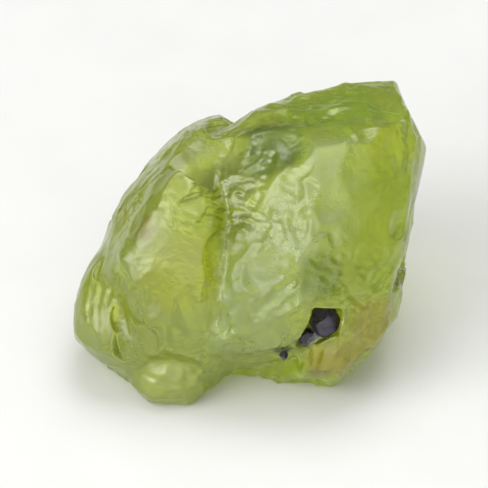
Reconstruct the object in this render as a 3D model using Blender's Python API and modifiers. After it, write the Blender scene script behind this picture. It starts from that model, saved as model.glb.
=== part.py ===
"""A rough peridot crystal: one lump of clear green olivine, broken on every side.

The crystal is worked out as a field, negative inside the stone, that is built up the way the
stone came to be. Fracture faces bound a few lumps that grew together, shell-shaped scars are
struck out of them, and ripples, ledges and small chips roughen what is left. An icosphere is
pushed out to that surface, divided evenly by voxels, settled on the surface again, thinned to
few triangles where it is flat, and cut off flat below.

Sizes are in millimetres, and become metres where the mesh is made. +X is to the right and -Y
to the front. The origin is under the middle of the crystal, on the surface it rests on.
"""

import math

import bmesh
import bpy
import numpy as np
from mathutils import Matrix

MM = 0.001
NAME = "peridot_crystal"

# Most places and directions are given as seen from in front and above: across, up and near
VIEW_RISE = math.radians(37)
MIDDLE = np.array([-0.17, -0.73, 3.5])

SPHERE_CUTS = 7
TRIANGLES = 8000
REACH = 9.0
MARCH_STEP = 0.25
DEEPEST = 0.9
TALLEST = 0.3
BISECTIONS = 7
VOXEL = 0.09
SETTLINGS = 4
SETTLE_STEP = 0.02
MOST_SETTLED = 0.06
SEED = 12


def seen(across, up, near):
    """A vector of the crystal's frame, from how it runs as seen from in front and above."""
    return np.array(
        [
            across,
            up * math.sin(VIEW_RISE) - near * math.cos(VIEW_RISE),
            up * math.cos(VIEW_RISE) + near * math.sin(VIEW_RISE),
        ]
    )


# Each fracture face is a point that it passes through, the way it faces, and how far it bends:
# the radius of its bulge, or of its hollow where that is negative, or 0 for a flat face
BODY = [
    # top, with the edge behind it
    ((1.6, 3.45, 2.2), (-0.14, 0.86, 0.50), 16),
    ((0.9, 4.17, -0.6), (-0.45, 0.88, -0.10), 0),
    ((3.0, 4.68, -0.6), (-0.13, 0.97, -0.20), 0),
    # right side, from the top corner down
    ((5.0, 3.84, -0.6), (0.91, 0.41, 0.05), 0),
    ((5.3, 1.90, -0.2), (0.97, -0.23, 0.05), 0),
    ((4.92, -0.9, 0.0), (0.98, -0.12, 0.12), 0),
    ((3.75, -3.0, -0.6), (0.72, -0.68, -0.10), 0),
    # broad face to the right of the middle
    ((3.3, 1.2, 3.45), (0.64, 0.13, 0.76), -30),
    # middle, then what slopes from it towards the pit
    ((0.9, 1.2, 3.2), (-0.34, 0.22, 0.91), 14),
    ((0.9, -1.2, 3.4), (-0.34, -0.10, 0.94), 16),
    ((1.9, -1.0, 3.6), (0.30, -0.16, 0.94), 12),
    ((1.0, -3.0, 2.45), (0.02, -0.72, 0.69), 0),
    # slope down to the left lobe, and the flank inside that lobe
    ((0.0, 1.0, 2.95), (-0.62, 0.10, 0.78), 0),
    ((-3.0, 0.0, 0.0), (-0.96, 0.25, 0.10), 0),
    # back and its corners
    ((1.5, 1.8, -4.4), (0.10, 0.20, -0.97), 16),
    ((-1.5, 2.6, -3.2), (-0.55, 0.50, -0.62), 0),
    ((4.3, 1.0, -3.0), (0.80, 0.15, -0.58), 0),
    ((3.0, -2.4, -3.0), (0.45, -0.55, -0.70), 0),
    ((-1.0, -1.5, -3.0), (-0.30, -0.60, -0.74), 0),
    # lower front edge, which leans back under the stone
    ((0.3, -3.85, 0.2), (0.03, -0.94, 0.33), 0),
]
LEFT_LOBE = [
    ((-2.0, 0.2, 3.1), (-0.04, 0.04, 1.00), 6),
    ((-1.3, 3.58, 0.0), (-0.28, 0.95, 0.10), 0),
    ((-2.4, 2.88, 0.0), (-0.70, 0.70, 0.12), 9),
    ((-3.7, 1.05, 0.6), (-0.90, 0.42, 0.15), 12),
    ((-2.95, 1.0, 2.75), (-0.55, 0.30, 0.78), 0),
    ((-3.50, 1.1, 2.05), (-0.78, 0.40, 0.48), 0),
    ((-1.8, -3.9, 0.8), (-0.10, -0.92, 0.38), 0),
    ((-3.3, -2.6, 1.6), (-0.80, -0.40, 0.45), 0),
    ((-0.45, 0.0, 2.6), (0.62, 0.05, 0.78), 5),
    ((-1.5, 1.0, -3.3), (-0.20, 0.25, -0.95), 10),
    ((-3.2, 0.0, -2.2), (-0.75, 0.10, -0.65), 0),
]
HEEL = [
    ((-5.22, -1.9, 0.2), (-0.97, 0.06, 0.20), 3),
    ((-4.42, -0.4, 0.4), (-0.75, 0.62, 0.20), 3),
    ((-4.1, -2.4, 1.6), (-0.35, 0.00, 0.94), 3),
    ((-4.5, -3.4, 0.0), (-0.60, -0.80, 0.05), 4),
    ((-2.4, -2.4, 0.6), (0.90, -0.20, 0.20), 0),
    ((-4.2, -1.6, -2.0), (-0.30, 0.10, -0.95), 0),
]
NUB = [
    ((-2.3, -4.0, 1.5), (-0.06, -0.18, 0.97), 2),
    ((-3.32, -4.35, 0.4), (-0.85, -0.50, 0.10), 2),
    ((-1.15, -4.4, 0.4), (0.80, -0.55, 0.10), 2),
    ((-2.2, -4.9, 0.4), (0.00, -0.97, 0.20), 0),
    ((-2.2, -2.4, 0.4), (0.00, 1.00, 0.00), 0),
    ((-2.2, -3.8, -1.6), (0.00, 0.20, -0.98), 0),
]
TOE = [
    ((3.4, -2.3, 2.3), (0.25, -0.05, 0.96), 5),
    ((4.76, -1.5, 0.4), (0.98, -0.14, 0.02), 0),
    ((3.9, -3.0, 0.6), (0.71, -0.70, 0.02), 0),
    ((2.2, -4.15, 0.6), (-0.06, -0.97, 0.22), 0),
    ((1.4, -3.2, 1.2), (-0.75, -0.25, 0.60), 0),
    ((3.2, -1.0, 1.2), (0.12, 0.93, 0.33), 0),
    ((3.0, -2.5, -1.4), (0.10, -0.10, -0.98), 0),
]
LUMPS = [BODY, LEFT_LOBE, HEEL, NUB, TOE]
FACE_EDGE = 0.06
LUMP_SEAM = 0.14

# Each scar: where it was struck, as a direction from the middle, its depth and its hollow radius,
# and the direction, on the surface, from which its ripples spread
SCARS = [
    ((0.9, 2.7, 2.4), 0.32, 2.8, (0.3, 1.0, 0.0)),
    ((2.1, 1.2, 3.0), 0.20, 3.2, (-0.5, 1.0, 0.0)),
    ((0.8, -0.8, 3.3), 0.18, 2.6, (-0.3, 1.0, 0.0)),
    ((-1.5, -2.2, 2.6), 0.18, 3.5, (0.6, 1.0, 0.0)),
    ((-2.1, 2.0, 2.2), 0.16, 3.0, (-0.4, 1.0, 0.0)),
    ((4.2, 0.6, 1.8), 0.08, 7.0, (0.2, 1.0, 0.0)),
    ((3.2, -3.2, 1.6), 0.14, 1.8, (0.6, 0.6, 0.0)),
    # sides and back
    ((5.0, 2.0, -1.8), 0.30, 4.0, (0.0, 1.0, 0.0)),
    ((-4.0, 1.4, -1.6), 0.35, 3.2, (0.0, 1.0, 0.3)),
    ((-1.0, 3.4, -2.4), 0.30, 4.5, (1.0, 0.0, 0.0)),
    ((2.4, 2.4, -4.0), 0.40, 4.0, (0.0, 1.0, 0.0)),
    ((-1.2, 0.6, -3.6), 0.35, 3.6, (1.0, 1.0, 0.0)),
    ((2.6, -0.8, -3.4), 0.30, 3.0, (0.0, 1.0, 0.0)),
]
SCAR_EVEN = 0.1
STRIKE_REACH = 1.5
SCAR_LIP = 0.03
RIPPLE = (0.50, 0.014)
# What keeps scars and chips from being round: the length and size of the swirl in them
SWIRL = (1.9, 0.34)

# Each ledged patch: where it is, as a direction from the middle, how far it reaches, the way its
# ledges climb, and the length and height of one
LEDGES = [
    ((-3.2, 1.0, 1.8), 1.6, (-0.8, 0.5, 0.3), 0.42, 0.11),
    ((-3.8, -1.4, 1.6), 1.3, (-0.9, 0.2, 0.3), 0.38, 0.10),
    ((2.9, -3.0, 1.8), 1.5, (0.7, -0.6, 0.2), 0.45, 0.10),
    ((1.8, 0.2, 3.2), 1.4, (0.6, 0.7, 0.0), 0.55, 0.09),
    ((4.4, 2.2, -2.4), 2.2, (0.3, 0.8, 0.5), 0.60, 0.12),
    ((-2.4, 1.8, -2.6), 2.2, (-0.5, 0.8, 0.0), 0.55, 0.12),
    ((0.6, -1.0, -3.4), 2.4, (0.8, 0.5, 0.2), 0.60, 0.12),
]

# How much the ledges sway, and over what length
LEDGE_SWAY = (1.6, 0.5)

# The pit that a dark grain sits in, and the crack that runs down from it, each the inside of faces
PIT = [
    ((2.35, -1.72, 2.6), (0.02, 1.00, 0.15), 0),
    ((2.88, -2.00, 2.6), (0.96, -0.19, 0.20), 0),
    ((2.30, -2.80, 2.6), (0.22, -0.96, 0.15), 0),
    ((1.72, -2.20, 2.6), (-0.96, 0.20, 0.20), 0),
    ((2.35, -2.25, 2.05), (0.15, 0.10, -0.98), 0),
]
CRACK = [
    ((1.22, -3.10, 2.2), (-0.72, 0.68, 0.10), 0),
    ((1.36, -3.22, 2.2), (0.72, -0.68, 0.10), 0),
    ((1.02, -3.42, 2.2), (-0.68, -0.72, 0.00), 0),
    ((1.90, -2.60, 2.2), (0.68, 0.72, 0.00), 0),
    ((1.30, -3.15, 1.7), (0.00, 0.00, -1.00), 0),
]
HOLE_SWIRL = 0.3

# The left lobe is a smooth dome: its middle, as a direction, and how far it reaches
DOME = ((-1.9, -0.6, 2.9), 1.7)

# The crystal rests on a flat face, cut at height 0: how far its soft edge reaches, and how far
# the worked-out surface and the lumps run on below it
BASE_EDGE = 0.12
BASE_SPARE = 0.02
BASE_WASTE = 0.30

CHIPS = 90
CHIP_CHOICE = 30
CHIP_EVEN = 0.3
CHIP_GAP = 0.75
CHIP_RADIUS = (1.2, 6.0)
CHIP_DEPTH = (0.03, 0.13)
CHIP_LEAN = 0.12
# Waves and sharp creases: the length and height of each kind. Creases are deepest in patches
WAVES = [(3.2, 0.05)]
CREASES = [(2.0, 0.07), (0.9, 0.03)]
PATCH = 5.0
PATCH_SPREAD = 0.8
LEAST_CREASED = 0.3
# How many waves a smooth random field is added up from, and how much their lengths differ
WAVE_COUNT = 7
WAVE_SPREAD = (0.6, 1.4)
SHARP_ANGLE = math.radians(35)

SURFACE_COLOUR = (0.80, 0.90, 0.52)
ABSORPTION_COLOUR = (0.74, 0.85, 0.12)
ABSORPTION_PER_METRE = 500
ROUGHNESS = 0.14
REFRACTION = 1.67


def higher(a, b, blend):
    """The larger of two fields, with the ridge between them rounded over this width."""
    near = np.maximum(blend - np.abs(a - b), 0) / blend
    return np.maximum(a, b) + near * near * blend / 4


def lower(a, b, blend):
    """The smaller of two fields, with the valley between them rounded."""
    return -higher(-a, -b, blend)


def unit(vector):
    return vector / np.linalg.norm(vector)


def fade(share):
    """1 at 0 and 0 from 1 on, with no corner between."""
    left = np.clip(1 - share, 0, 1)
    return left * left * (3 - 2 * left)


def wander(points, length, seed):
    """A smooth random field of about -1 to 1 that changes over this length."""
    random = np.random.default_rng(seed)
    total = np.zeros(len(points))
    for _ in range(WAVE_COUNT):
        wave = unit(random.normal(size=3))
        wave *= 2 * math.pi / length * random.uniform(*WAVE_SPREAD)
        total += np.sin(points @ wave + random.uniform(0, 2 * math.pi))
    return total / math.sqrt(WAVE_COUNT)


def face_height(points, anchor, facing, bend):
    """How far each point stands out of a fracture face."""
    anchor = MIDDLE + seen(*anchor)
    facing = unit(seen(*facing))
    if bend == 0:
        return (points - anchor) @ facing
    from_centre = np.linalg.norm(points - (anchor - bend * facing), axis=1)
    return math.copysign(1, bend) * (from_centre - abs(bend))


def lump_field(points, faces):
    field = face_height(points, *faces[0])
    for face in faces[1:]:
        field = higher(field, face_height(points, *face), FACE_EDGE)
    return field


def grown_field(points):
    """The lumps as they grew together, before anything was struck out of them."""
    field = lump_field(points, LUMPS[0])
    for faces in LUMPS[1:]:
        field = lower(field, lump_field(points, faces), LUMP_SEAM)
    return higher(field, -BASE_WASTE - points[:, 2], FACE_EDGE)


def narrow_down(field_of, directions, inside, outside):
    """The radius between these two at which each ray from the middle leaves a field's inside."""
    for _ in range(BISECTIONS):
        half = (inside + outside) / 2
        within = field_of(MIDDLE + directions * half[:, None]) < 0
        inside = np.where(within, half, inside)
        outside = np.where(within, outside, half)
    return half


def grown_radius(directions):
    """How far each ray from the middle runs inside the grown lumps."""
    inside = np.zeros(len(directions))
    going = np.ones(len(directions), bool)
    for radius in np.arange(MARCH_STEP, REACH, MARCH_STEP):
        still = grown_field(MIDDLE + directions[going] * radius) < 0
        going[going] = still
        inside[going] = radius
    return narrow_down(grown_field, directions, inside, inside + MARCH_STEP)


def grown_points(directions):
    directions = directions / np.linalg.norm(directions, axis=1)[:, None]
    return MIDDLE + directions * grown_radius(directions)[:, None]


def slopes(field_of, points, step):
    """The outward unit normal of a field, and its value, evened out over a step around points."""
    corners = np.array([[1, -1, -1], [-1, -1, 1], [-1, 1, -1], [1, 1, 1]])
    values = np.stack([field_of(points + step * corner) for corner in corners], axis=1)
    rise = values @ corners
    return rise / np.linalg.norm(rise, axis=1)[:, None], values.mean(axis=1)


def strike(point, normal, radius, depth, source=None):
    """A hollow struck out of the surface: where, how far it reaches, and its sphere.

    Ripples spread over it from its source, if it has one.
    """
    reach = STRIKE_REACH * math.sqrt(2 * radius * depth)
    return point, normal, reach, radius, depth, source


def off_dome(points):
    """0 in the middle of the smooth dome, and 1 away from it."""
    towards, reach = DOME
    middle = grown_points(seen(*towards)[None])
    return 1 - fade(np.linalg.norm(points - middle, axis=1) / reach)


def scar_list():
    """The large hollows, each with ripples from a place at its edge."""
    points = grown_points(np.array([seen(*row[0]) for row in SCARS]))
    normals, _ = slopes(grown_field, points, SCAR_EVEN)
    made = []
    for point, normal, (_, depth, radius, towards) in zip(points, normals, SCARS):
        rim = math.sqrt(2 * radius * depth)
        made.append(strike(point, normal, radius, depth, point + rim * unit(seen(*towards))))
    return made


def chip_list():
    """The small hollows along the sharpest ridges, except on the dome."""
    random = np.random.default_rng(SEED)
    points = grown_points(random.normal(size=(CHIPS * CHIP_CHOICE, 3)))
    normals, _ = slopes(grown_field, points, CHIP_EVEN)
    along = np.cross(normals, random.normal(size=normals.shape))
    along *= CHIP_EVEN / np.linalg.norm(along, axis=1)[:, None]
    across = np.cross(normals, along)
    # On a ridge, the surface has dropped away a little further on, to both sides
    drop = sum(grown_field(points + way) for way in (along, -along, across, -across))
    drop *= off_dome(points)
    picked = []
    for index in np.argsort(-drop):
        gaps = [np.linalg.norm(points[index] - points[other]) for other in picked]
        if len(picked) < CHIPS and min(gaps, default=REACH) > CHIP_GAP:
            picked.append(index)
    radii = random.uniform(*CHIP_RADIUS, len(points))
    depths = random.uniform(*CHIP_DEPTH, len(points))
    leans = normals + CHIP_LEAN * random.normal(size=normals.shape)
    return [strike(points[one], unit(leans[one]), radii[one], depths[one]) for one in picked]


def struck_out(field, points, swirl, hit):
    """A field after one hollow has been struck out of it, at points in order of their X."""
    point, normal, reach, radius, depth, source = hit
    first, last = np.searchsorted(points[:, 0], (point[0] - reach, point[0] + reach))
    spare = reach - np.linalg.norm(points[first:last] - point, axis=1)
    near = first + np.flatnonzero(spare > 0)
    spare = spare[spare > 0]
    # The swirl runs along the surface, so that it bends a hollow's rim and not its depth
    along = swirl[near] - np.outer(swirl[near] @ normal, normal)
    centre = point + normal * (radius - depth)
    dug = radius - np.linalg.norm(points[near] + along - centre, axis=1)
    if source is not None:
        length, height = RIPPLE
        away = np.linalg.norm(points[near] + along - source, axis=1)
        dug += height * np.cos(2 * math.pi * away / length) * fade(away / reach)
    field[near] = higher(field[near], np.minimum(dug, spare), SCAR_LIP)
    return field


def ledge_field(points, sway, centre, reach, climb, length, height):
    """Parallel steps across a patch, each rising slowly and dropping sharply."""
    near = fade(np.linalg.norm(points - centre, axis=1) / reach)
    along = points @ unit(seen(*climb)) / length + sway
    return near * height * (along - np.floor(along) - 0.5)


def make_crystal_field():
    hits = scar_list() + chip_list()
    ledges = [(grown_points(seen(*row[0])[None])[0], *row[1:]) for row in LEDGES]

    def crystal_field(points):
        order = np.argsort(points[:, 0])
        points = points[order]
        field = grown_field(points)
        for number, (length, height) in enumerate(WAVES):
            field = field + height * wander(points, length, SEED + 20 + number)
        crumpled = 1 - fade(wander(points, PATCH, SEED + 30) + PATCH_SPREAD)
        rough = (LEAST_CREASED + crumpled) * off_dome(points)
        for number, (length, height) in enumerate(CREASES):
            crease = np.abs(wander(points, length, SEED + 31 + number))
            field = field + height * rough * crease
        sway_length, most_sway = LEDGE_SWAY
        sway = most_sway * wander(points, sway_length, SEED + 1)
        for row in ledges:
            field = field + ledge_field(points, sway, *row)
        swirl = [wander(points, SWIRL[0], SEED + 40 + axis) for axis in range(3)]
        swirl = SWIRL[1] * np.stack(swirl, axis=1)
        for hit in hits:
            field = struck_out(field, points, swirl, hit)
        for faces in (PIT, CRACK):
            field = higher(field, -lump_field(points + HOLE_SWIRL * swirl, faces), SCAR_LIP)
        field = higher(field, -BASE_SPARE - points[:, 2], BASE_EDGE)
        return field[np.argsort(order)]

    return crystal_field


def places(mesh):
    """The points of a mesh, one row for each."""
    flat = np.empty(len(mesh.vertices) * 3)
    mesh.vertices.foreach_get("co", flat)
    return flat.reshape(-1, 3)


def move_to(mesh, points):
    mesh.vertices.foreach_set("co", points.ravel())
    mesh.update()


def push_out(mesh, field_of):
    """Moves an icosphere's points out to the crystal's surface."""
    directions = places(mesh)
    directions /= np.linalg.norm(directions, axis=1)[:, None]
    grown = grown_radius(directions)
    radius = narrow_down(field_of, directions, grown - DEEPEST, grown + TALLEST)
    move_to(mesh, MIDDLE + directions * radius[:, None])


def settle(mesh, field_of):
    """Evens out the points of a mesh, and keeps them on the crystal's surface."""
    points = places(mesh)
    ends = np.empty(len(mesh.edges) * 2, int)
    mesh.edges.foreach_get("vertices", ends)
    one, other = ends.reshape(-1, 2).T
    count = np.bincount(ends, minlength=len(points))[:, None]
    for _ in range(SETTLINGS):
        total = np.zeros_like(points)
        for axis in range(3):
            total[:, axis] += np.bincount(one, points[other, axis], len(points))
            total[:, axis] += np.bincount(other, points[one, axis], len(points))
        normals, height = slopes(field_of, points, SETTLE_STEP)
        shift = (total / count - points) / 2
        rise = np.sum(normals * shift, axis=1) + np.clip(height, -MOST_SETTLED, MOST_SETTLED)
        points = points + shift - normals * rise[:, None]
    move_to(mesh, points)


def apply_modifier(thing, kind, **settings):
    """Puts a modifier's result in the place of the mesh that it works on."""
    modifier = thing.modifiers.new(kind.lower(), kind)
    for setting, value in settings.items():
        setattr(modifier, setting, value)
    bpy.context.view_layer.update()
    graph = bpy.context.evaluated_depsgraph_get()
    old = thing.data
    thing.data = bpy.data.meshes.new_from_object(thing.evaluated_get(graph))
    thing.modifiers.clear()
    bpy.data.meshes.remove(old)


def cut_base(mesh):
    """Cuts the crystal off flat at the surface that it rests on."""
    shape = bmesh.new()
    shape.from_mesh(mesh)
    everything = shape.verts[:] + shape.edges[:] + shape.faces[:]
    cut = bmesh.ops.bisect_plane(
        shape, geom=everything, dist=1e-7, plane_co=(0, 0, 0), plane_no=(0, 0, 1), clear_inner=True
    )
    rim = [item for item in cut["geom_cut"] if isinstance(item, bmesh.types.BMEdge)]
    bmesh.ops.triangle_fill(shape, edges=rim, use_beauty=True)
    bmesh.ops.recalc_face_normals(shape, faces=shape.faces[:])
    shape.to_mesh(mesh)
    shape.free()


def centre(mesh):
    """Puts the middle of the crystal's breadth and depth over the origin."""
    corners = np.array([vertex.co for vertex in mesh.vertices])
    middle = (corners.min(axis=0) + corners.max(axis=0)) / 2
    for vertex in mesh.vertices:
        vertex.co.x -= middle[0]
        vertex.co.y -= middle[1]


def make_material():
    """Clear yellow-green: light is coloured by the length of its way through the stone."""
    material = bpy.data.materials.new(NAME)
    material.use_nodes = True
    nodes = material.node_tree.nodes
    shader = nodes["Principled BSDF"]
    shader.inputs["Base Color"].default_value = (*SURFACE_COLOUR, 1)
    shader.inputs["Roughness"].default_value = ROUGHNESS
    shader.inputs["Metallic"].default_value = 0
    shader.inputs["Transmission Weight"].default_value = 1
    shader.inputs["IOR"].default_value = REFRACTION
    absorption = nodes.new("ShaderNodeVolumeAbsorption")
    absorption.inputs["Color"].default_value = (*ABSORPTION_COLOUR, 1)
    absorption.inputs["Density"].default_value = ABSORPTION_PER_METRE
    into = nodes["Material Output"].inputs["Volume"]
    material.node_tree.links.new(absorption.outputs["Volume"], into)
    return material


def main():
    for old in list(bpy.data.objects):
        bpy.data.objects.remove(old)
    bpy.ops.mesh.primitive_ico_sphere_add(subdivisions=SPHERE_CUTS, radius=1)
    crystal = bpy.context.object
    crystal.name = NAME
    field_of = make_crystal_field()
    push_out(crystal.data, field_of)
    apply_modifier(crystal, "REMESH", mode="VOXEL", voxel_size=VOXEL)
    settle(crystal.data, field_of)
    apply_modifier(crystal, "DECIMATE", ratio=TRIANGLES / (2 * len(crystal.data.polygons)))
    cut_base(crystal.data)
    centre(crystal.data)
    crystal.data.transform(Matrix.Scale(MM, 4))
    crystal.data.shade_smooth()
    crystal.data.set_sharp_from_angle(angle=SHARP_ANGLE)
    crystal.data.materials.append(make_material())
    collection = bpy.data.collections.new(NAME)
    bpy.context.scene.collection.children.link(collection)
    for holder in list(crystal.users_collection):
        holder.objects.unlink(crystal)
    collection.objects.link(crystal)


main()
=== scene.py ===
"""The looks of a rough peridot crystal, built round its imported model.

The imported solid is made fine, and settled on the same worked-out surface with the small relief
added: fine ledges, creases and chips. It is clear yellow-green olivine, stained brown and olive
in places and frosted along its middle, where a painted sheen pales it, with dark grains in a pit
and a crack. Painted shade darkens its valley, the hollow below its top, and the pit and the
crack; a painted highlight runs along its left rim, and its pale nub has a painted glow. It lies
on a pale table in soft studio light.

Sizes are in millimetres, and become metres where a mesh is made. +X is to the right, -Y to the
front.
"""

import math

import bpy
import numpy as np
from mathutils import Matrix, Vector


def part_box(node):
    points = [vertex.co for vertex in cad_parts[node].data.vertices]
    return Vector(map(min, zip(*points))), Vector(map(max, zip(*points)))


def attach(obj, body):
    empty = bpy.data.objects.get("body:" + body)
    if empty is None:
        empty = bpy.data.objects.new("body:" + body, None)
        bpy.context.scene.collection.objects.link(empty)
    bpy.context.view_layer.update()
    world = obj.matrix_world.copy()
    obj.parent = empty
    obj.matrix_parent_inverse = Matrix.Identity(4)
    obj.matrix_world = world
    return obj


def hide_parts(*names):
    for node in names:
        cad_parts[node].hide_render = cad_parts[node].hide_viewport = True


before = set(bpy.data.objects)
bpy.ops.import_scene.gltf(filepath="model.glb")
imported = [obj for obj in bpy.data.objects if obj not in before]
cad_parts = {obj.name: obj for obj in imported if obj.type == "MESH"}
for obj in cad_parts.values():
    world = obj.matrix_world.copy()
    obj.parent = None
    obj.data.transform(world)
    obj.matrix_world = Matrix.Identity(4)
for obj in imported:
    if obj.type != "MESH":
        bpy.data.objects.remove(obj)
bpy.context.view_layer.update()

NODE = "peridot_crystal"
MM = 0.001
# How the surface is found along a ray: how far out, in what steps, then how often one is halved
REACH = 9.0
MARCH_STEP = 0.25
BISECTIONS = 7
# How fine the crystal's mesh is, and how it is settled on the surface: how many times, over what
# step the slope is taken, and the most that a point moves up or down in one go
VOXEL = 0.062
SETTLINGS = 4
SETTLE_STEP = 0.012
MOST_SETTLED = 0.06
# Where each kind of random draw starts. Where there are more of a kind, the others count on
CHIP_SEED = 12
SWAY_SEED = 13
GRAIN_SEED = 15
GRAIN_RELIEF_SEED = 16
WAVE_SEED = 32
PATCH_SEED = 42
CREASE_SEED = 43
SWIRL_SEED = 52

# Most places and directions are given as seen from in front and above: across, up and near.
# Places are counted from the crystal's middle
VIEW_RISE = math.radians(37)
MIDDLE = np.array([-0.17, -0.73, 3.5])
# The crystal is worked out this far from where it stands
OFF_CENTRE = np.array([-0.0207, -0.0446, 0])


# Each fracture face is a point that it passes through, the way it faces, and how far it bends:
# the radius of its bulge, or of its hollow where that is negative, or 0 for a flat face
BODY = [
    # top, with the edge behind it
    ((1.6, 3.45, 2.2), (-0.14, 0.86, 0.50), 16),
    ((0.9, 4.17, -0.6), (-0.45, 0.88, -0.10), 0),
    ((3.0, 4.68, -0.6), (-0.13, 0.97, -0.20), 0),
    # right side, from the top corner down
    ((5.0, 3.84, -0.6), (0.91, 0.41, 0.05), 0),
    ((5.3, 1.90, -0.2), (0.97, -0.23, 0.05), 0),
    ((4.92, -0.9, 0.0), (0.98, -0.12, 0.12), 0),
    ((3.75, -3.0, -0.6), (0.72, -0.68, -0.10), 0),
    # broad face to the right of the middle
    ((3.3, 1.2, 3.45), (0.64, 0.13, 0.76), -30),
    # middle, then what slopes from it towards the pit
    ((0.9, 1.2, 3.2), (-0.34, 0.22, 0.91), 14),
    ((0.9, -1.2, 3.4), (-0.34, -0.10, 0.94), 16),
    ((1.9, -1.0, 3.6), (0.30, -0.16, 0.94), 12),
    ((1.0, -3.0, 2.45), (0.02, -0.72, 0.69), 0),
    # slope down to the left lobe, and the flank inside that lobe
    ((0.0, 1.0, 2.95), (-0.62, 0.10, 0.78), 0),
    ((-3.0, 0.0, 0.0), (-0.96, 0.25, 0.10), 0),
    # back and its corners
    ((1.5, 1.8, -4.4), (0.10, 0.20, -0.97), 16),
    ((-1.5, 2.6, -3.2), (-0.55, 0.50, -0.62), 0),
    ((4.3, 1.0, -3.0), (0.80, 0.15, -0.58), 0),
    ((3.0, -2.4, -3.0), (0.45, -0.55, -0.70), 0),
    ((-1.0, -1.5, -3.0), (-0.30, -0.60, -0.74), 0),
    # lower front edge, which leans back under the stone
    ((0.3, -3.85, 0.2), (0.03, -0.94, 0.33), 0),
]
LEFT_LOBE = [
    ((-2.0, 0.2, 3.1), (-0.04, 0.04, 1.00), 6),
    ((-1.3, 3.58, 0.0), (-0.28, 0.95, 0.10), 0),
    ((-2.4, 2.88, 0.0), (-0.70, 0.70, 0.12), 9),
    ((-3.7, 1.05, 0.6), (-0.90, 0.42, 0.15), 12),
    ((-2.95, 1.0, 2.75), (-0.55, 0.30, 0.78), 0),
    ((-3.50, 1.1, 2.05), (-0.78, 0.40, 0.48), 0),
    ((-1.8, -3.9, 0.8), (-0.10, -0.92, 0.38), 0),
    ((-3.3, -2.6, 1.6), (-0.80, -0.40, 0.45), 0),
    ((-0.45, 0.0, 2.6), (0.62, 0.05, 0.78), 5),
    ((-1.5, 1.0, -3.3), (-0.20, 0.25, -0.95), 10),
    ((-3.2, 0.0, -2.2), (-0.75, 0.10, -0.65), 0),
]
HEEL = [
    ((-5.22, -1.9, 0.2), (-0.97, 0.06, 0.20), 3),
    ((-4.42, -0.4, 0.4), (-0.75, 0.62, 0.20), 3),
    ((-4.1, -2.4, 1.6), (-0.35, 0.00, 0.94), 3),
    ((-4.5, -3.4, 0.0), (-0.60, -0.80, 0.05), 4),
    ((-2.4, -2.4, 0.6), (0.90, -0.20, 0.20), 0),
    ((-4.2, -1.6, -2.0), (-0.30, 0.10, -0.95), 0),
]
NUB = [
    ((-2.3, -4.0, 1.5), (-0.06, -0.18, 0.97), 2),
    ((-3.32, -4.35, 0.4), (-0.85, -0.50, 0.10), 2),
    ((-1.15, -4.4, 0.4), (0.80, -0.55, 0.10), 2),
    ((-2.2, -4.9, 0.4), (0.00, -0.97, 0.20), 0),
    ((-2.2, -2.4, 0.4), (0.00, 1.00, 0.00), 0),
    ((-2.2, -3.8, -1.6), (0.00, 0.20, -0.98), 0),
]
TOE = [
    ((3.4, -2.3, 2.3), (0.25, -0.05, 0.96), 5),
    ((4.76, -1.5, 0.4), (0.98, -0.14, 0.02), 0),
    ((3.9, -3.0, 0.6), (0.71, -0.70, 0.02), 0),
    ((2.2, -4.15, 0.6), (-0.06, -0.97, 0.22), 0),
    ((1.4, -3.2, 1.2), (-0.75, -0.25, 0.60), 0),
    ((3.2, -1.0, 1.2), (0.12, 0.93, 0.33), 0),
    ((3.0, -2.5, -1.4), (0.10, -0.10, -0.98), 0),
]
LUMPS = [BODY, LEFT_LOBE, HEEL, NUB, TOE]
# How wide the edge between two faces, and the seam between two lumps, is rounded
FACE_EDGE = 0.06
LUMP_SEAM = 0.14

# Each scar: where it was struck, as a direction from the middle, its depth and its hollow radius,
# and the direction, on the surface, from which its ripples spread
SCARS = [
    ((0.9, 2.7, 2.4), 0.32, 2.8, (0.3, 1.0, 0.0)),
    ((2.1, 1.2, 3.0), 0.20, 3.2, (-0.5, 1.0, 0.0)),
    ((0.8, -0.8, 3.3), 0.18, 2.6, (-0.3, 1.0, 0.0)),
    ((-1.5, -2.2, 2.6), 0.18, 3.5, (0.6, 1.0, 0.0)),
    ((-2.1, 2.0, 2.2), 0.16, 3.0, (-0.4, 1.0, 0.0)),
    ((4.2, 0.6, 1.8), 0.08, 7.0, (0.2, 1.0, 0.0)),
    ((3.2, -3.2, 1.6), 0.14, 1.8, (0.6, 0.6, 0.0)),
    # sides and back
    ((5.0, 2.0, -1.8), 0.30, 4.0, (0.0, 1.0, 0.0)),
    ((-4.0, 1.4, -1.6), 0.35, 3.2, (0.0, 1.0, 0.3)),
    ((-1.0, 3.4, -2.4), 0.30, 4.5, (1.0, 0.0, 0.0)),
    ((2.4, 2.4, -4.0), 0.40, 4.0, (0.0, 1.0, 0.0)),
    ((-1.2, 0.6, -3.6), 0.35, 3.6, (1.0, 1.0, 0.0)),
    ((2.6, -0.8, -3.4), 0.30, 3.0, (0.0, 1.0, 0.0)),
]
# Over what step the slope under a scar is taken, how far a hollow reaches, as a share of its
# rim's radius, how wide its lip is rounded, and the length and height of a ripple
SCAR_EVEN = 0.1
STRIKE_REACH = 1.5
SCAR_LIP = 0.03
RIPPLE = (0.50, 0.014)
# What keeps scars and chips from being round: the length and size of the swirl in them
SWIRL = (1.9, 0.34)

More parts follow.
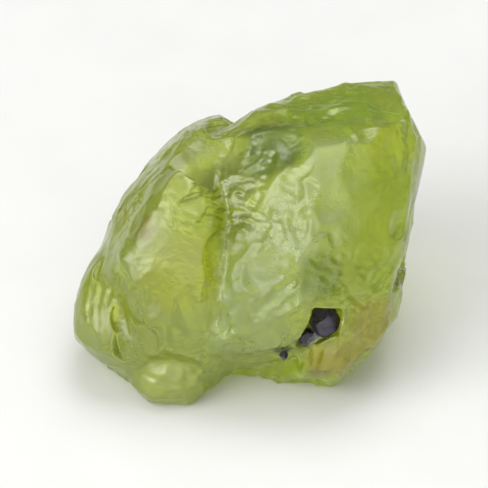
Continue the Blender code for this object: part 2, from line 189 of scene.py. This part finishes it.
# Each ledged patch: where it is, as a direction from the middle, how far it reaches, the way its
# ledges climb, and the length and height of one
LEDGES = [
    ((-3.2, 1.0, 1.8), 1.6, (-0.8, 0.5, 0.3), 0.42, 0.11),
    ((-3.8, -1.4, 1.6), 1.3, (-0.9, 0.2, 0.3), 0.38, 0.10),
    ((2.9, -3.0, 1.8), 1.5, (0.7, -0.6, 0.2), 0.45, 0.10),
    ((1.8, 0.2, 3.2), 1.4, (0.6, 0.7, 0.0), 0.55, 0.09),
    ((4.4, 2.2, -2.4), 2.2, (0.3, 0.8, 0.5), 0.60, 0.12),
    ((-2.4, 1.8, -2.6), 2.2, (-0.5, 0.8, 0.0), 0.55, 0.12),
    ((0.6, -1.0, -3.4), 2.4, (0.8, 0.5, 0.2), 0.60, 0.12),
    # fine ones
    ((-2.7, 1.7, 2.2), 1.3, (-0.75, 0.65, 0.1), 0.26, 0.05),
    ((-3.5, 0.0, 1.9), 1.3, (-0.9, 0.3, 0.3), 0.27, 0.05),
    ((-4.2, -2.2, 1.2), 1.2, (-0.9, -0.2, 0.3), 0.24, 0.04),
    ((1.2, 0.5, 3.4), 1.0, (0.7, 0.3, 0.0), 0.28, 0.04),
    ((-0.3, 0.8, 2.5), 1.9, (0.3, 1.0, 0.0), 0.34, 0.06),
]
# Over what length the ledges sway, and by what share of one ledge
LEDGE_SWAY = (1.6, 0.5)

# The pit that a dark grain sits in, and the crack that runs down from it: each is what these
# faces close in
PIT = [
    ((2.35, -1.72, 2.6), (0.02, 1.00, 0.15), 0),
    ((2.88, -2.00, 2.6), (0.96, -0.19, 0.20), 0),
    ((2.30, -2.80, 2.6), (0.22, -0.96, 0.15), 0),
    ((1.72, -2.20, 2.6), (-0.96, 0.20, 0.20), 0),
    ((2.35, -2.25, 2.05), (0.15, 0.10, -0.98), 0),
]
CRACK = [
    ((1.22, -3.10, 2.2), (-0.72, 0.68, 0.10), 0),
    ((1.36, -3.22, 2.2), (0.72, -0.68, 0.10), 0),
    ((1.02, -3.42, 2.2), (-0.68, -0.72, 0.00), 0),
    ((1.90, -2.60, 2.2), (0.68, 0.72, 0.00), 0),
    ((1.30, -3.15, 1.7), (0.00, 0.00, -1.00), 0),
]
# The share of the swirl that bends them
HOLE_SWIRL = 0.3

# The left lobe is a smooth dome: its middle, as a direction, and how far it reaches
DOME = ((-1.9, -0.6, 2.9), 1.7)

# The crystal rests on a flat face, cut at height 0: how far its soft edge reaches, and how far
# the worked-out surface and the lumps run on below it
BASE_EDGE = 0.12
BASE_SPARE = 0.02
BASE_WASTE = 0.30

# Each kind of chip: how many, how much the surface is evened out to find ridges, the least gap
# between two, the radii and the depths of their hollows, and whether they keep to the ridges
CHIP_KINDS = [
    (90, 0.3, 0.75, (1.2, 6.0), (0.03, 0.13), True),
    (260, 0.12, 0.28, (0.8, 3.0), (0.012, 0.04), True),
    (160, 0.12, 0.45, (1.5, 5.0), (0.012, 0.035), False),
]
# How many places are looked at for each chip, and how far it leans from the surface's slope
CHIP_CHOICE = 30
CHIP_LEAN = 0.12
# Waves and sharp creases: the length and height of each kind. Creases are deepest in patches
WAVES = [(3.2, 0.05)]
CREASES = [(2.0, 0.07), (0.9, 0.03), (0.5, 0.012), (0.3, 0.006)]
# The length of a creased patch, how much of the surface has them, and the least depth elsewhere
PATCH = 5.0
PATCH_SPREAD = 0.8
LEAST_CREASED = 0.3
# How many waves a smooth random field is added up from, and how much their lengths differ
WAVE_COUNT = 7
WAVE_SPREAD = (0.6, 1.4)

# Each dark grain, in the pit and in the crack: its place and its half sizes
GRAINS = [
    ((2.38, -2.27, 2.22), (0.50, 0.50, 0.40)),
    ((1.86, -2.72, 1.78), (0.34, 0.26, 0.34)),
    ((1.15, -3.30, 1.85), (0.13, 0.15, 0.32)),
]
# How finely a grain's ball is cut up, its flat faces, their distances from its middle as shares
# of its size, how little a face may be turned away to count, and its relief's length and height
GRAIN_CUTS = 4
GRAIN_FACES = 16
GRAIN_FACE_REACH = (0.7, 0.95)
LEAST_FACING = 0.01
GRAIN_RELIEF = (0.5, 0.015)
GRAIN_SHARP = math.radians(25)

# Each mottle: its scale, its layers and how strong the fine ones are, and then the two of its
# values between which a colour or a roughness runs from its first to its second
CRYSTAL_MOTTLE = (260, 3, 0.5, 0.35, 0.65)
CRYSTAL_POLISH = (420, 4, 0.6, 0.38, 0.70)
FROST_AND_SHEEN_MOTTLE = (1100, 5, 0.65, 0.3, 0.6)
GRAIN_MOTTLE = (3000, 4, 0.5, 0.35, 0.65)
GRAIN_POLISH = (6000, 4, 0.5, 0.3, 0.7)
TABLE_MOTTLE = (300, 4, 0.5, 0.3, 0.7)
TABLE_POLISH = (900, 4, 0.5, 0.3, 0.7)
# Bumps too small for the mesh: their pattern, and their strength and height
CRYSTAL_BUMPS = ((2600, 6, 0.62), 0.5, 0.08)
GRAIN_BUMPS = ((9000, 4, 0.5), 0.3, 0.03)

GRAIN_COLOURS = ((0.020, 0.016, 0.030), (0.050, 0.040, 0.065))
GRAIN_ROUGHNESS = (0.22, 0.50)

# Each stain, or patch of painted shade, painted highlight or painted glow: where it is, as a
# direction from the middle, its radius, its tint and its strength
STAINS_AND_PAINTED_LIGHT = [
    # brown spot, smooth dome and heel of the left side, a painted highlight along the left rim,
    # and the nub, pale with a painted glow
    ((-2.9, 0.4, 2.8), 0.5, (0.52, 0.36, 0.03), 0.60),
    ((-1.9, -0.9, 3.0), 1.5, (0.90, 0.90, 0.03), 0.70),
    ((-4.4, -1.8, 1.2), 1.1, (0.84, 0.90, 0.10), 0.70),
    # painted highlight: pale yellow along the left rim, standing in for its glints
    ((-3.7, 0.6, 1.8), 0.9, (0.96, 0.96, 0.28), 0.60),
    # the nub: pale frosty yellow, and partly a painted glow of light coming through it
    ((-2.2, -4.3, 1.3), 1.1, (0.96, 0.98, 0.24), 0.85),
    # painted shade in the valley and in the hollow below the top, then the top, and above the pit
    ((-0.45, 1.9, 2.4), 1.0, (0.28, 0.32, 0.02), 0.85),
    ((-0.45, 0.5, 2.4), 0.9, (0.34, 0.38, 0.02), 0.80),
    ((0.8, 2.75, 2.4), 1.1, (0.20, 0.28, 0.02), 0.90),
    ((2.6, 3.8, 1.4), 1.7, (0.50, 0.66, 0.05), 0.75),
    ((2.2, -0.9, 3.3), 0.8, (0.34, 0.42, 0.03), 0.75),
    # golden toe and brown right edge
    ((3.8, -2.6, 2.0), 1.4, (0.80, 0.50, 0.03), 0.80),
    ((2.4, -3.6, 1.9), 0.9, (0.80, 0.52, 0.04), 0.80),
    ((3.3, -1.95, 2.4), 0.35, (0.46, 0.28, 0.04), 0.75),
    ((2.1, -4.0, 1.6), 0.50, (0.40, 0.24, 0.04), 0.80),
    ((4.65, -0.6, 0.3), 1.2, (0.40, 0.27, 0.10), 0.80),
    ((5.15, 1.6, 0.2), 0.9, (0.42, 0.36, 0.12), 0.70),
    # painted shade in the pit and the crack, round the dark grains
    ((2.20, -2.45, 2.05), 0.62, (0.06, 0.05, 0.01), 0.95),
    ((1.75, -2.78, 1.9), 0.40, (0.06, 0.05, 0.01), 0.95),
    ((1.12, -3.34, 1.7), 0.40, (0.03, 0.02, 0.01), 0.97),
]
# How a patch's edge wanders and how far, and where it starts and ends, as shares of its radius
EDGE_PATTERN = (900, 4, 0.5)
RAGGED = 0.8
PATCH_EDGE = (1.0, 1.5)
# Where the surface is frosted, with a painted sheen in its colour: each place and its radius
FROST_AND_SHEEN = [
    ((0.2, -2.6, 2.8), 1.4),
    ((0.1, -1.4, 3.0), 1.1),
    ((0.8, -0.8, 3.3), 1.5),
    ((1.8, 0.8, 3.4), 1.6),
    ((2.6, 2.3, 3.1), 1.2),
]
# Frost is uneven: from its thinnest to its thickest. Its colour, pale partly as a painted sheen,
# how much that tints the crystal, and how much rougher it is
FROST_AND_SHEEN_SHARES = (0.35, 1.0)
FROST_AND_SHEEN_COLOUR = (0.80, 0.88, 0.48)
FROST_AND_SHEEN_TINT = 0.65
FROST_ROUGHNESS = 0.20

# The clear crystal: its tint and roughness, the share of the light that goes through it, how
# strongly it reflects, and what it absorbs over its thickness
CRYSTAL_COLOURS = ((0.74, 0.82, 0.15), (0.70, 0.74, 0.11))
CRYSTAL_ROUGHNESS = (0.08, 0.28)
TRANSMISSION = 0.86
REFRACTION = 1.67
SHINE = 0.28
ABSORPTION_COLOUR = (0.78, 0.84, 0.20)
ABSORPTION_PER_METRE = 400

# The gap keeps the table's surface from meeting the crystal's flat base in one plane
TABLE_GAP = 0.03
TABLE_WIDTH = 1200
TABLE_COLOURS = ((0.67, 0.67, 0.66), (0.69, 0.69, 0.68))
TABLE_ROUGHNESS = (0.55, 0.65)

# Each softbox: its place and its width, and its power in watts
SOFTBOXES = {
    "main_softbox": ((-165, -120, 150), 200, 0.50),
    "top_softbox": ((40, 60, 270), 180, 0.34),
    "front_softbox": ((30, -250, 80), 240, 0.20),
}
LIT = (0, 0, 3)
# The surroundings are brightest in this direction, and dim from its first share to its last
SKY_TOP = (-0.10, -0.25, 0.96)
SKY_SHARES = (0.15, 0.85)
SKY_COLOURS = ((0.20, 0.20, 0.19), (0.98, 0.98, 0.97))
SKY_STRENGTH = 0.85

# The camera looks at the crystal's middle, and sees this width there
CAMERA_AWAY = 185.0
FRAME_WIDTH = 14.5
SENSOR_WIDTH = 36
NEAREST = 0.005


def seen(across, up, near):
    """A vector of the crystal's frame, from how it runs as seen from in front and above."""
    return np.array(
        [
            across,
            up * math.sin(VIEW_RISE) - near * math.cos(VIEW_RISE),
            up * math.cos(VIEW_RISE) + near * math.sin(VIEW_RISE),
        ]
    )


def higher(a, b, blend):
    """The larger of two fields, with the ridge between them rounded over this width."""
    near = np.maximum(blend - np.abs(a - b), 0) / blend
    return np.maximum(a, b) + near * near * blend / 4


def lower(a, b, blend):
    """The smaller of two fields, with the valley between them rounded."""
    return -higher(-a, -b, blend)


def unit(vector):
    return vector / np.linalg.norm(vector)


def fade(share):
    """1 at 0 and 0 from 1 on, with no corner between."""
    left = np.clip(1 - share, 0, 1)
    return left * left * (3 - 2 * left)


def wander(points, length, seed):
    """A smooth random field of about -1 to 1 that changes over this length."""
    random = np.random.default_rng(seed)
    total = np.zeros(len(points))
    for _ in range(WAVE_COUNT):
        wave = unit(random.normal(size=3))
        wave *= 2 * math.pi / length * random.uniform(*WAVE_SPREAD)
        total += np.sin(points @ wave + random.uniform(0, 2 * math.pi))
    return total / math.sqrt(WAVE_COUNT)


def face_height(points, anchor, facing, bend):
    """How far each point stands out of a fracture face."""
    anchor = MIDDLE + seen(*anchor)
    facing = unit(seen(*facing))
    if bend == 0:
        return (points - anchor) @ facing
    from_centre = np.linalg.norm(points - (anchor - bend * facing), axis=1)
    return math.copysign(1, bend) * (from_centre - abs(bend))


def lump_field(points, faces):
    """How far each point stands out of the lump that these faces close in."""
    field = face_height(points, *faces[0])
    for face in faces[1:]:
        field = higher(field, face_height(points, *face), FACE_EDGE)
    return field


def grown_field(points):
    """The lumps as they grew together, before anything was struck out of them."""
    field = lump_field(points, LUMPS[0])
    for faces in LUMPS[1:]:
        field = lower(field, lump_field(points, faces), LUMP_SEAM)
    return higher(field, -BASE_WASTE - points[:, 2], FACE_EDGE)


def narrow_down(field_of, directions, inside, outside):
    """The radius between these two at which each ray from the middle leaves a field's inside."""
    for _ in range(BISECTIONS):
        half = (inside + outside) / 2
        within = field_of(MIDDLE + directions * half[:, None]) < 0
        inside = np.where(within, half, inside)
        outside = np.where(within, outside, half)
    return half


def grown_radius(directions):
    """How far each ray from the middle runs inside the grown lumps."""
    inside = np.zeros(len(directions))
    going = np.ones(len(directions), bool)
    for radius in np.arange(MARCH_STEP, REACH, MARCH_STEP):
        still = grown_field(MIDDLE + directions[going] * radius) < 0
        going[going] = still
        inside[going] = radius
    return narrow_down(grown_field, directions, inside, inside + MARCH_STEP)


def grown_points(directions):
    """Where rays from the middle leave the grown lumps."""
    directions = directions / np.linalg.norm(directions, axis=1)[:, None]
    return MIDDLE + directions * grown_radius(directions)[:, None]


def slopes(field_of, points, step):
    """The outward unit normal of a field, and its value, evened out over a step around points."""
    corners = np.array([[1, -1, -1], [-1, -1, 1], [-1, 1, -1], [1, 1, 1]])
    values = np.stack([field_of(points + step * corner) for corner in corners], axis=1)
    rise = values @ corners
    return rise / np.linalg.norm(rise, axis=1)[:, None], values.mean(axis=1)


def strike(point, normal, radius, depth, source=None):
    """A hollow struck out of the surface: where, how far it reaches, and its sphere.

    Ripples spread over it from its source, if it has one.
    """
    reach = STRIKE_REACH * math.sqrt(2 * radius * depth)
    return point, normal, reach, radius, depth, source


def off_dome(points):
    """0 in the middle of the smooth dome, and 1 away from it."""
    towards, reach = DOME
    middle = grown_points(seen(*towards)[None])
    return 1 - fade(np.linalg.norm(points - middle, axis=1) / reach)


def scar_list():
    """The large hollows, each with ripples from a place at its edge."""
    points = grown_points(np.array([seen(*row[0]) for row in SCARS]))
    normals, _ = slopes(grown_field, points, SCAR_EVEN)
    made = []
    for point, normal, (_, depth, radius, towards) in zip(points, normals, SCARS):
        rim = math.sqrt(2 * radius * depth)
        made.append(strike(point, normal, radius, depth, point + rim * unit(seen(*towards))))
    return made


def chip_list():
    """The small hollows of each kind, which leave the dome's ridges alone."""
    made = []
    for number, (count, even, gap, radii, depths, edgy) in enumerate(CHIP_KINDS):
        random = np.random.default_rng(CHIP_SEED + number)
        points = grown_points(random.normal(size=(count * CHIP_CHOICE, 3)))
        normals, _ = slopes(grown_field, points, even)
        along = np.cross(normals, random.normal(size=normals.shape))
        along *= even / np.linalg.norm(along, axis=1)[:, None]
        across = np.cross(normals, along)
        # On a ridge, the surface has dropped away a little further on, to both sides
        drop = sum(grown_field(points + way) for way in (along, -along, across, -across))
        drop *= off_dome(points)
        order = np.argsort(-drop) if edgy else np.arange(len(points))
        picked = []
        for index in order:
            gaps = [np.linalg.norm(points[index] - points[other]) for other in picked]
            if len(picked) < count and min(gaps, default=REACH) > gap:
                picked.append(index)
        radius = random.uniform(*radii, len(points))
        depth = random.uniform(*depths, len(points))
        lean = normals + CHIP_LEAN * random.normal(size=normals.shape)
        made += [strike(points[one], unit(lean[one]), radius[one], depth[one]) for one in picked]
    return made


def struck_out(field, points, swirl, hit):
    """A field after one hollow has been struck out of it, at points in order of their X."""
    point, normal, reach, radius, depth, source = hit
    first, last = np.searchsorted(points[:, 0], (point[0] - reach, point[0] + reach))
    spare = reach - np.linalg.norm(points[first:last] - point, axis=1)
    near = first + np.flatnonzero(spare > 0)
    spare = spare[spare > 0]
    # The swirl runs along the surface, so that it bends a hollow's rim and not its depth
    along = swirl[near] - np.outer(swirl[near] @ normal, normal)
    centre = point + normal * (radius - depth)
    dug = radius - np.linalg.norm(points[near] + along - centre, axis=1)
    if source is not None:
        length, height = RIPPLE
        away = np.linalg.norm(points[near] + along - source, axis=1)
        dug += height * np.cos(2 * math.pi * away / length) * fade(away / reach)
    field[near] = higher(field[near], np.minimum(dug, spare), SCAR_LIP)
    return field


def ledge_field(points, sway, centre, reach, climb, length, height):
    """Parallel steps across a patch, each rising slowly and dropping sharply."""
    near = fade(np.linalg.norm(points - centre, axis=1) / reach)
    along = points @ unit(seen(*climb)) / length + sway
    return near * height * (along - np.floor(along) - 0.5)


def make_crystal_field():
    """Lays out the hollows and the ledges once, and returns the whole crystal's field."""
    hits = scar_list() + chip_list()
    ledges = [(grown_points(seen(*row[0])[None])[0], *row[1:]) for row in LEDGES]

    def crystal_field(points):
        """How far each point stands out of the crystal."""
        order = np.argsort(points[:, 0])
        points = points[order]
        field = grown_field(points)
        for number, (length, height) in enumerate(WAVES):
            field = field + height * wander(points, length, WAVE_SEED + number)
        crumpled = 1 - fade(wander(points, PATCH, PATCH_SEED) + PATCH_SPREAD)
        rough = (LEAST_CREASED + crumpled) * off_dome(points)
        for number, (length, height) in enumerate(CREASES):
            crease = np.abs(wander(points, length, CREASE_SEED + number))
            field = field + height * rough * crease
        sway_length, most_sway = LEDGE_SWAY
        sway = most_sway * wander(points, sway_length, SWAY_SEED)
        for row in ledges:
            field = field + ledge_field(points, sway, *row)
        swirl_length, most_swirl = SWIRL
        swirl = [wander(points, swirl_length, SWIRL_SEED + axis) for axis in range(3)]
        swirl = most_swirl * np.stack(swirl, axis=1)
        for hit in hits:
            field = struck_out(field, points, swirl, hit)
        for faces in (PIT, CRACK):
            field = higher(field, -lump_field(points + HOLE_SWIRL * swirl, faces), SCAR_LIP)
        field = higher(field, -BASE_SPARE - points[:, 2], BASE_EDGE)
        return field[np.argsort(order)]

    return crystal_field


def places(mesh):
    """The points of a mesh, one row for each."""
    flat = np.empty(len(mesh.vertices) * 3)
    mesh.vertices.foreach_get("co", flat)
    return flat.reshape(-1, 3)


def move_to(mesh, points):
    mesh.vertices.foreach_set("co", points.ravel())
    mesh.update()


def settle(mesh, field_of):
    """Evens out the points of a mesh, and keeps them on the crystal's surface."""
    points = places(mesh)
    ends = np.empty(len(mesh.edges) * 2, int)
    mesh.edges.foreach_get("vertices", ends)
    one, other = ends.reshape(-1, 2).T
    count = np.bincount(ends, minlength=len(points))[:, None]
    for _ in range(SETTLINGS):
        total = np.zeros_like(points)
        for axis in range(3):
            total[:, axis] += np.bincount(one, points[other, axis], len(points))
            total[:, axis] += np.bincount(other, points[one, axis], len(points))
        normals, height = slopes(field_of, points, SETTLE_STEP)
        shift = (total / count - points) / 2
        rise = np.sum(normals * shift, axis=1) + np.clip(height, -MOST_SETTLED, MOST_SETTLED)
        points = points + shift - normals * rise[:, None]
    move_to(mesh, points)


def apply_modifier(thing, kind, **settings):
    """Puts a modifier's result in the place of the mesh that it works on."""
    modifier = thing.modifiers.new(kind.lower(), kind)
    for setting, value in settings.items():
        setattr(modifier, setting, value)
    bpy.context.view_layer.update()
    graph = bpy.context.evaluated_depsgraph_get()
    old = thing.data
    thing.data = bpy.data.meshes.new_from_object(thing.evaluated_get(graph))
    thing.modifiers.clear()
    bpy.data.meshes.remove(old)


def noise(tree, scale, detail, roughness):
    """An uneven value of about 0.3 to 0.7 all through a piece."""
    place = tree.nodes.new("ShaderNodeTexCoord")
    node = tree.nodes.new("ShaderNodeTexNoise")
    node.inputs["Scale"].default_value = scale
    node.inputs["Detail"].default_value = detail
    node.inputs["Roughness"].default_value = roughness
    tree.links.new(place.outputs["Object"], node.inputs["Vector"])
    return node.outputs["Fac"]


def spread(tree, value, low, high, to_low=0.0, to_high=1.0):
    """A value carried smoothly from one range to another."""
    node = tree.nodes.new("ShaderNodeMapRange")
    node.interpolation_type = "SMOOTHSTEP"
    node.inputs["From Min"].default_value = low
    node.inputs["From Max"].default_value = high
    node.inputs["To Min"].default_value = to_low
    node.inputs["To Max"].default_value = to_high
    tree.links.new(value, node.inputs["Value"])
    return node.outputs["Result"]


def mottle(tree, scale, detail, roughness, low, high, to_low=0.0, to_high=1.0):
    """An uneven value that runs smoothly from one number to another."""
    return spread(tree, noise(tree, scale, detail, roughness), low, high, to_low, to_high)


def maths(tree, operation, one, other):
    """Two values put together; the second one may be a number."""
    node = tree.nodes.new("ShaderNodeMath")
    node.operation = operation
    tree.links.new(one, node.inputs[0])
    if isinstance(other, float):
        node.inputs[1].default_value = other
    else:
        tree.links.new(other, node.inputs[1])
    return node.outputs[0]


def mixed(tree, share, one, other):
    """Two colours mixed; each is a socket or a plain colour."""
    node = tree.nodes.new("ShaderNodeMix")
    node.data_type = "RGBA"
    tree.links.new(share, node.inputs["Factor"])
    for name, colour in (("A_Color", one), ("B_Color", other)):
        socket = next(item for item in node.inputs if item.identifier == name)
        if isinstance(colour, tuple):
            socket.default_value = (*colour, 1)
        else:
            tree.links.new(colour, socket)
    return next(item for item in node.outputs if item.identifier == "Result_Color")


def patch(tree, uneven, towards, radius):
    """1 in the middle of a patch of the surface and 0 outside it, with a ragged edge."""
    away = tree.nodes.new("ShaderNodeVectorMath")
    away.operation = "DISTANCE"
    place = tree.nodes.new("ShaderNodeTexCoord")
    tree.links.new(place.outputs["Object"], away.inputs[0])
    away.inputs[1].default_value = (MIDDLE - OFF_CENTRE + seen(*towards)) * MM
    ragged = maths(tree, "MULTIPLY", uneven, RAGGED * radius * MM)
    ragged = maths(tree, "ADD", ragged, away.outputs["Value"])
    start, end = (share * radius * MM for share in PATCH_EDGE)
    return spread(tree, ragged, start, end, 1.0, 0.0)


def bumpy(tree, shader, pattern, strength, distance):
    """Gives a shader small bumps of this pattern."""
    bump = tree.nodes.new("ShaderNodeBump")
    bump.inputs["Strength"].default_value = strength
    bump.inputs["Distance"].default_value = distance * MM
    tree.links.new(noise(tree, *pattern), bump.inputs["Height"])
    tree.links.new(bump.outputs["Normal"], shader.inputs["Normal"])


def new_material(name):
    material = bpy.data.materials.new(name)
    material.use_nodes = True
    tree = material.node_tree
    return material, tree, tree.nodes["Principled BSDF"]


def crystal_material():
    """Clear yellow-green, with ragged stains, patches of painted shade, painted highlight and
    painted glow, and a frosted band with a painted sheen.
    """
    material, tree, shader = new_material("peridot")
    shader.inputs["Transmission Weight"].default_value = TRANSMISSION
    shader.inputs["IOR"].default_value = REFRACTION
    shader.inputs["Specular IOR Level"].default_value = SHINE
    uneven = noise(tree, *EDGE_PATTERN)
    band = None
    for towards, radius in FROST_AND_SHEEN:
        there = patch(tree, uneven, towards, radius)
        band = there if band is None else maths(tree, "MAXIMUM", band, there)
    frost_and_sheen = maths(tree, "MULTIPLY", band, mottle(tree, *FROST_AND_SHEEN_MOTTLE, *FROST_AND_SHEEN_SHARES))
    colour = mixed(tree, mottle(tree, *CRYSTAL_MOTTLE), *CRYSTAL_COLOURS)
    # the frost's pale colour, partly a painted sheen, mixed in
    colour = mixed(tree, maths(tree, "MULTIPLY", frost_and_sheen, FROST_AND_SHEEN_TINT), colour, FROST_AND_SHEEN_COLOUR)
    # stains, and patches of painted shade, painted highlight and painted glow
    for towards, radius, tint, strength in STAINS_AND_PAINTED_LIGHT:
        there = patch(tree, uneven, towards, radius)
        colour = mixed(tree, maths(tree, "MULTIPLY", there, strength), colour, tint)
    tree.links.new(colour, shader.inputs["Base Color"])
    roughness = mottle(tree, *CRYSTAL_POLISH, *CRYSTAL_ROUGHNESS)
    roughness = maths(tree, "ADD", roughness, maths(tree, "MULTIPLY", frost_and_sheen, FROST_ROUGHNESS))
    tree.links.new(roughness, shader.inputs["Roughness"])
    bumpy(tree, shader, *CRYSTAL_BUMPS)
    absorption = tree.nodes.new("ShaderNodeVolumeAbsorption")
    absorption.inputs["Color"].default_value = (*ABSORPTION_COLOUR, 1)
    absorption.inputs["Density"].default_value = ABSORPTION_PER_METRE
    tree.links.new(absorption.outputs["Volume"], tree.nodes["Material Output"].inputs["Volume"])
    return material


def grain_material():
    """Nearly black, with a violet tinge."""
    material, tree, shader = new_material("dark_grain")
    colour = mixed(tree, mottle(tree, *GRAIN_MOTTLE), *GRAIN_COLOURS)
    tree.links.new(colour, shader.inputs["Base Color"])
    roughness = mottle(tree, *GRAIN_POLISH, *GRAIN_ROUGHNESS)
    tree.links.new(roughness, shader.inputs["Roughness"])
    bumpy(tree, shader, *GRAIN_BUMPS)
    return material


def table_material():
    """Pale, matt and slightly mottled."""
    material, tree, shader = new_material("table")
    colour = mixed(tree, mottle(tree, *TABLE_MOTTLE), *TABLE_COLOURS)
    tree.links.new(colour, shader.inputs["Base Color"])
    roughness = mottle(tree, *TABLE_POLISH, *TABLE_ROUGHNESS)
    tree.links.new(roughness, shader.inputs["Roughness"])
    return material


def make_crystal():
    """The fine crystal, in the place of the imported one."""
    crystal = bpy.data.objects.new("crystal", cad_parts[NODE].data.copy())
    bpy.context.scene.collection.objects.link(crystal)
    crystal.data.transform(Matrix.Scale(1 / MM, 4))
    apply_modifier(crystal, "REMESH", mode="VOXEL", voxel_size=VOXEL)
    move_to(crystal.data, places(crystal.data) + OFF_CENTRE)
    settle(crystal.data, make_crystal_field())
    low, high = (np.array(corner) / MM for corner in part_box(NODE))
    move_to(crystal.data, np.clip(places(crystal.data) - OFF_CENTRE, low, high))
    crystal.data.transform(Matrix.Scale(MM, 4))
    crystal.data.shade_smooth()
    crystal.data.materials.clear()
    crystal.data.materials.append(crystal_material())
    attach(crystal, "root")
    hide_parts(NODE)


def make_grain(number, place, size, material):
    """A dark grain of another mineral, broken flat on many sides."""
    bpy.ops.mesh.primitive_ico_sphere_add(subdivisions=GRAIN_CUTS, radius=1)
    grain = bpy.context.object
    grain.name = f"grain_{number}"
    random = np.random.default_rng(GRAIN_SEED + number)
    cuts = random.normal(size=(GRAIN_FACES, 3))
    cuts /= np.linalg.norm(cuts, axis=1)[:, None]
    points = places(grain.data)
    reach = random.uniform(*GRAIN_FACE_REACH, GRAIN_FACES)
    reach = reach / np.maximum(points @ cuts.T, LEAST_FACING)
    points *= np.minimum(reach.min(axis=1), 1)[:, None]
    length, height = GRAIN_RELIEF
    points *= 1 + height * wander(points, length, GRAIN_RELIEF_SEED)[:, None]
    axes = np.array([seen(1, 0, 0), seen(0, 1, 0), seen(0, 0, 1)])
    points = MIDDLE - OFF_CENTRE + seen(*place) + (points * np.array(size)) @ axes
    move_to(grain.data, points * MM)
    grain.data.shade_smooth()
    grain.data.set_sharp_from_angle(angle=GRAIN_SHARP)
    grain.data.materials.append(material)
    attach(grain, "root")


def make_table():
    bpy.ops.mesh.primitive_plane_add(size=TABLE_WIDTH * MM)
    table = bpy.context.object
    table.name = "table"
    table.location.z = -TABLE_GAP * MM
    table.data.materials.append(table_material())


def add_softbox(name, place, width, power):
    light = bpy.data.lights.new(name, "AREA")
    light.shape = "SQUARE"
    light.size = width * MM
    light.energy = power
    lamp = bpy.data.objects.new(name, light)
    bpy.context.scene.collection.objects.link(lamp)
    lamp.location = Vector(place) * MM
    lamp.rotation_euler = (Vector(place) - Vector(LIT)).to_track_quat("Z", "Y").to_euler()


def light_studio():
    """Soft light: bright above and in front, dim round the horizon, and three softboxes."""
    world = bpy.data.worlds.new("studio")
    bpy.context.scene.world = world
    world.use_nodes = True
    tree = world.node_tree
    facing = tree.nodes.new("ShaderNodeVectorMath")
    facing.operation = "DOT_PRODUCT"
    tree.links.new(tree.nodes.new("ShaderNodeTexCoord").outputs["Generated"], facing.inputs[0])
    facing.inputs[1].default_value = SKY_TOP
    shade = tree.nodes.new("ShaderNodeValToRGB")
    for element, share, colour in zip(shade.color_ramp.elements, SKY_SHARES, SKY_COLOURS):
        element.position = share
        element.color = (*colour, 1)
    tree.links.new(facing.outputs["Value"], shade.inputs["Fac"])
    tree.links.new(shade.outputs["Color"], tree.nodes["Background"].inputs["Color"])
    tree.nodes["Background"].inputs["Strength"].default_value = SKY_STRENGTH
    for name, softbox in SOFTBOXES.items():
        add_softbox(name, *softbox)


def make_camera():
    back = Vector(seen(0, 0, 1))
    data = bpy.data.cameras.new("camera")
    camera = bpy.data.objects.new("camera", data)
    bpy.context.scene.collection.objects.link(camera)
    data.sensor_width = SENSOR_WIDTH
    data.lens = SENSOR_WIDTH * CAMERA_AWAY / FRAME_WIDTH
    data.clip_start = NEAREST
    camera.location = (Vector(MIDDLE) + back * CAMERA_AWAY) * MM
    camera.rotation_euler = back.to_track_quat("Z", "Y").to_euler()
    bpy.context.scene.camera = camera


make_crystal()
dark = grain_material()
for number, (place, size) in enumerate(GRAINS):
    make_grain(number, place, size, dark)
make_table()
light_studio()
make_camera()
bpy.context.scene.view_settings.view_transform = "Standard"
